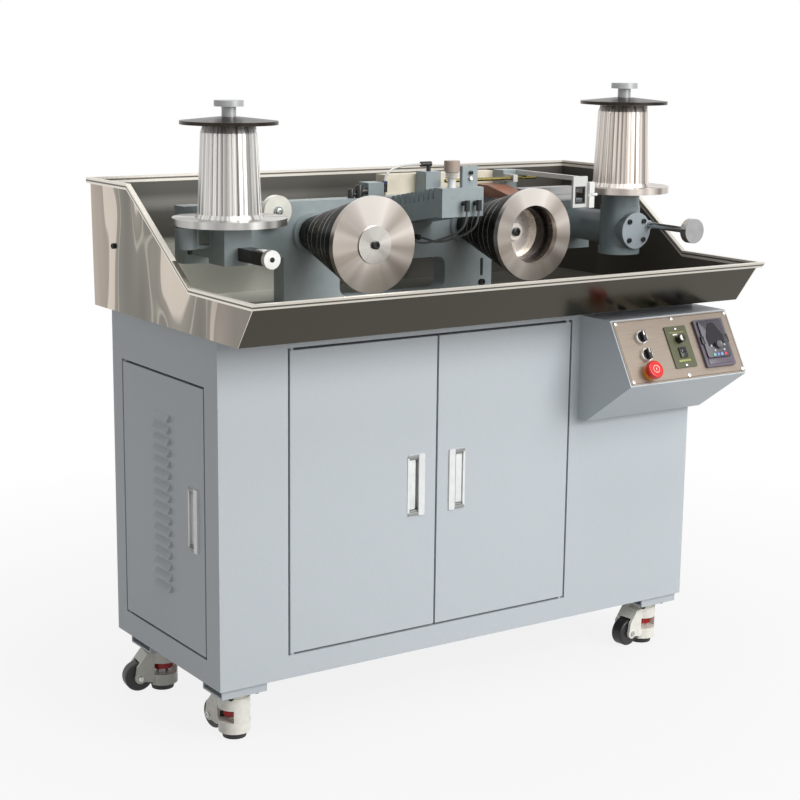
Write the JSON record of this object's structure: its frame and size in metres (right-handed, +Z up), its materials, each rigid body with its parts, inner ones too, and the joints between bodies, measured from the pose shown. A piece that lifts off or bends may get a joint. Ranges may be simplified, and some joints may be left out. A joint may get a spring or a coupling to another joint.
{
  "type": "wire drawing machine",
  "caption": "Wire drawing machine: sheet cabinet on levelling casters with a drip tray, stepped drawing cones, a die box, payoff and take-up drums and a sloped console.",
  "frame": {"origin": "middle of the overall length and depth, on the floor", "axes": "+X along the machine towards the take-up drum, +Y towards the back, +Z up; the doors and console face -Y"},
  "size_m": [1.29, 0.713, 1.309],
  "materials": {
    "cabinet_paint": "light blue-grey powder coat, satin",
    "door_paint": "light blue-grey powder coat, satin",
    "machine_paint": "blue-grey machine enamel, satin",
    "caster_cream": "cream-white enamel, glossy",
    "caster_red": "red moulded plastic",
    "pad_black": "black rubber, matt",
    "wheel_black": "black nylon tread, matt",
    "pull_silver": "pale satin metal",
    "console_paint": "light blue-grey powder coat, satin",
    "plate_beige": "beige brushed sheet",
    "ring_silver": "bright metal ring",
    "control_black": "black moulded plastic",
    "stop_red": "red moulded plastic",
    "controller_olive": "olive green panel",
    "keypad_grey": "violet-grey moulded plastic",
    "tray_steel": "polished stainless steel",
    "cone_black": "black oxide coated steel, satin",
    "disc_steel": "turned face, radial sheen",
    "drum_steel": "polished fluted steel",
    "cap_bronze": "dark burnished steel",
    "spindle_steel": "turned steel",
    "pulley_white": "off-white nylon",
    "handle_chrome": "bright rod and knob",
    "valve_beige": "beige plastic cap on a metal body",
    "fitting_black": "black push-in fittings",
    "hose_clear": "clear soft tube",
    "guard_cream": "cream enamel",
    "phenolic_brown": "brown laminate",
    "pipe_brass": "brass pipe",
    "rail_aluminium": "anodised aluminium",
    "roller_white": "white rollers on a dark rod"
  },
  "bodies": {
    "machine": {"caster_brackets": "cabinet_paint", "caster_forks": "caster_cream", "caster_adjusters": "caster_red", "levelling_pads": "pad_black", "cabinet_base": "cabinet_paint", "cabinet_back": "cabinet_paint", "cabinet_right_side": "cabinet_paint", "cabinet_left_side": "cabinet_paint", "cabinet_front": "cabinet_paint", "console_housing": "console_paint", "console_plate": "plate_beige", "switch_rings": "ring_silver", "speed_controller": "controller_olive", "inverter_keypad": "keypad_grey", "drip_tray": "tray_steel", "main_frame": "machine_paint", "payoff_stand": "machine_paint", "tension_bar": "machine_paint", "takeup_gearbox": "machine_paint", "takeup_handle": "handle_chrome", "die_box": "machine_paint", "lubricant_valve": "valve_beige", "lubricant_fittings": "fitting_black", "lubricant_tubes": "hose_clear", "rear_guard": "guard_cream", "wire_guide_block": "phenolic_brown", "spray_pipe": "pipe_brass", "traverse_slide": "machine_paint", "traverse_rail": "rail_aluminium", "traverse_rollers": "roller_white"},
    "left_door": {"front_door_left": "door_paint", "front_pull_left": "pull_silver"},
    "right_door": {"front_door_right": "door_paint", "front_pull_right": "pull_silver"},
    "louvred_door": {"side_door": "door_paint", "side_pull": "pull_silver"},
    "left_capstan": {"capstan_left_cone": "cone_black", "capstan_left_disc": "disc_steel"},
    "right_capstan": {"capstan_right_cone": "cone_black", "capstan_right_ring": "disc_steel"},
    "payoff_reel": {"payoff_spool": "drum_steel", "payoff_cap_plate": "cap_bronze", "payoff_spindle": "spindle_steel"},
    "takeup_reel": {"takeup_spool": "drum_steel", "takeup_cap_plate": "cap_bronze", "takeup_spindle": "spindle_steel"},
    "pulley": {"guide_pulley": "pulley_white"},
    "wheel_front_left": {"caster_wheel_front_left": "wheel_black"},
    "wheel_front_right": {"caster_wheel_front_right": "wheel_black"},
    "wheel_back_left": {"caster_wheel_back_left": "wheel_black"},
    "wheel_back_right": {"caster_wheel_back_right": "wheel_black"},
    "upper_selector": {"selector_upper": "control_black"},
    "lower_selector": {"selector_lower": "control_black"},
    "stop_button": {"emergency_stop": "stop_red"},
    "speed_dial": {"speed_knob": "control_black"}
  },
  "joints": [
    {"name": "left_door_hinge", "type": "hinge", "parent": "machine", "child": "left_door", "pos_m": [-0.4468, -0.157, 0.4878], "axis": [0, 0, -1], "range_deg": [0, 100]},
    {"name": "right_door_hinge", "type": "hinge", "parent": "machine", "child": "right_door", "pos_m": [0.2496, -0.157, 0.4878], "axis": [0, 0, 1], "range_deg": [0, 90]},
    {"name": "louvred_door_hinge", "type": "hinge", "parent": "machine", "child": "louvred_door", "pos_m": [-0.608, 0.2531, 0.4535], "axis": [0, 0, -1], "range_deg": [0, 100]},
    {"name": "left_capstan_spin", "type": "hinge", "parent": "machine", "child": "left_capstan", "pos_m": [-0.234, 0, 0.9915], "axis": [0, -1, 0], "continuous": true},
    {"name": "right_capstan_spin", "type": "hinge", "parent": "machine", "child": "right_capstan", "pos_m": [0.1765, 0, 0.9915], "axis": [0, -1, 0], "continuous": true},
    {"name": "payoff_spin", "type": "hinge", "parent": "machine", "child": "payoff_reel", "pos_m": [-0.497, -0.002, 1.1], "axis": [0, 0, 1], "continuous": true},
    {"name": "takeup_spin", "type": "hinge", "parent": "machine", "child": "takeup_reel", "pos_m": [0.495, -0.037, 1.13], "axis": [0, 0, 1], "continuous": true},
    {"name": "pulley_spin", "type": "hinge", "parent": "machine", "child": "pulley", "pos_m": [-0.33, 0.103, 1.045], "axis": [0, -1, 0], "continuous": true},
    {"name": "wheel_front_left_spin", "type": "hinge", "parent": "machine", "child": "wheel_front_left", "pos_m": [-0.55793, -0.04555, 0.0335], "axis": [-0.9903, -0.1392, 0], "continuous": true},
    {"name": "wheel_front_right_spin", "type": "hinge", "parent": "machine", "child": "wheel_front_right", "pos_m": [0.49356, -0.10993, 0.0335], "axis": [0.1392, -0.9903, 0], "continuous": true},
    {"name": "wheel_back_left_spin", "type": "hinge", "parent": "machine", "child": "wheel_back_left", "pos_m": [-0.60645, 0.23393, 0.0335], "axis": [-0.1392, -0.9903, 0], "continuous": true},
    {"name": "wheel_back_right_spin", "type": "hinge", "parent": "machine", "child": "wheel_back_right", "pos_m": [0.5785, 0.27536, 0.0335], "axis": [-0.866, 0.5, 0], "continuous": true},
    {"name": "upper_selector_turn", "type": "hinge", "parent": "machine", "child": "upper_selector", "pos_m": [0.3484, -0.28476, 0.774], "axis": [0, -0.8666, 0.499], "range_deg": [-45, 45]},
    {"name": "lower_selector_turn", "type": "hinge", "parent": "machine", "child": "lower_selector", "pos_m": [0.3484, -0.30497, 0.7389], "axis": [0, -0.8666, 0.499], "range_deg": [-45, 45]},
    {"name": "stop_button_push", "type": "slide", "parent": "machine", "child": "stop_button", "axis": [0, 0.8666, -0.499], "range_m": [0, 0.004]},
    {"name": "speed_dial_turn", "type": "hinge", "parent": "machine", "child": "speed_dial", "pos_m": [0.4524, -0.29175, 0.76186], "axis": [0, -0.8666, 0.499], "range_deg": [-270, 0]}
  ]
}
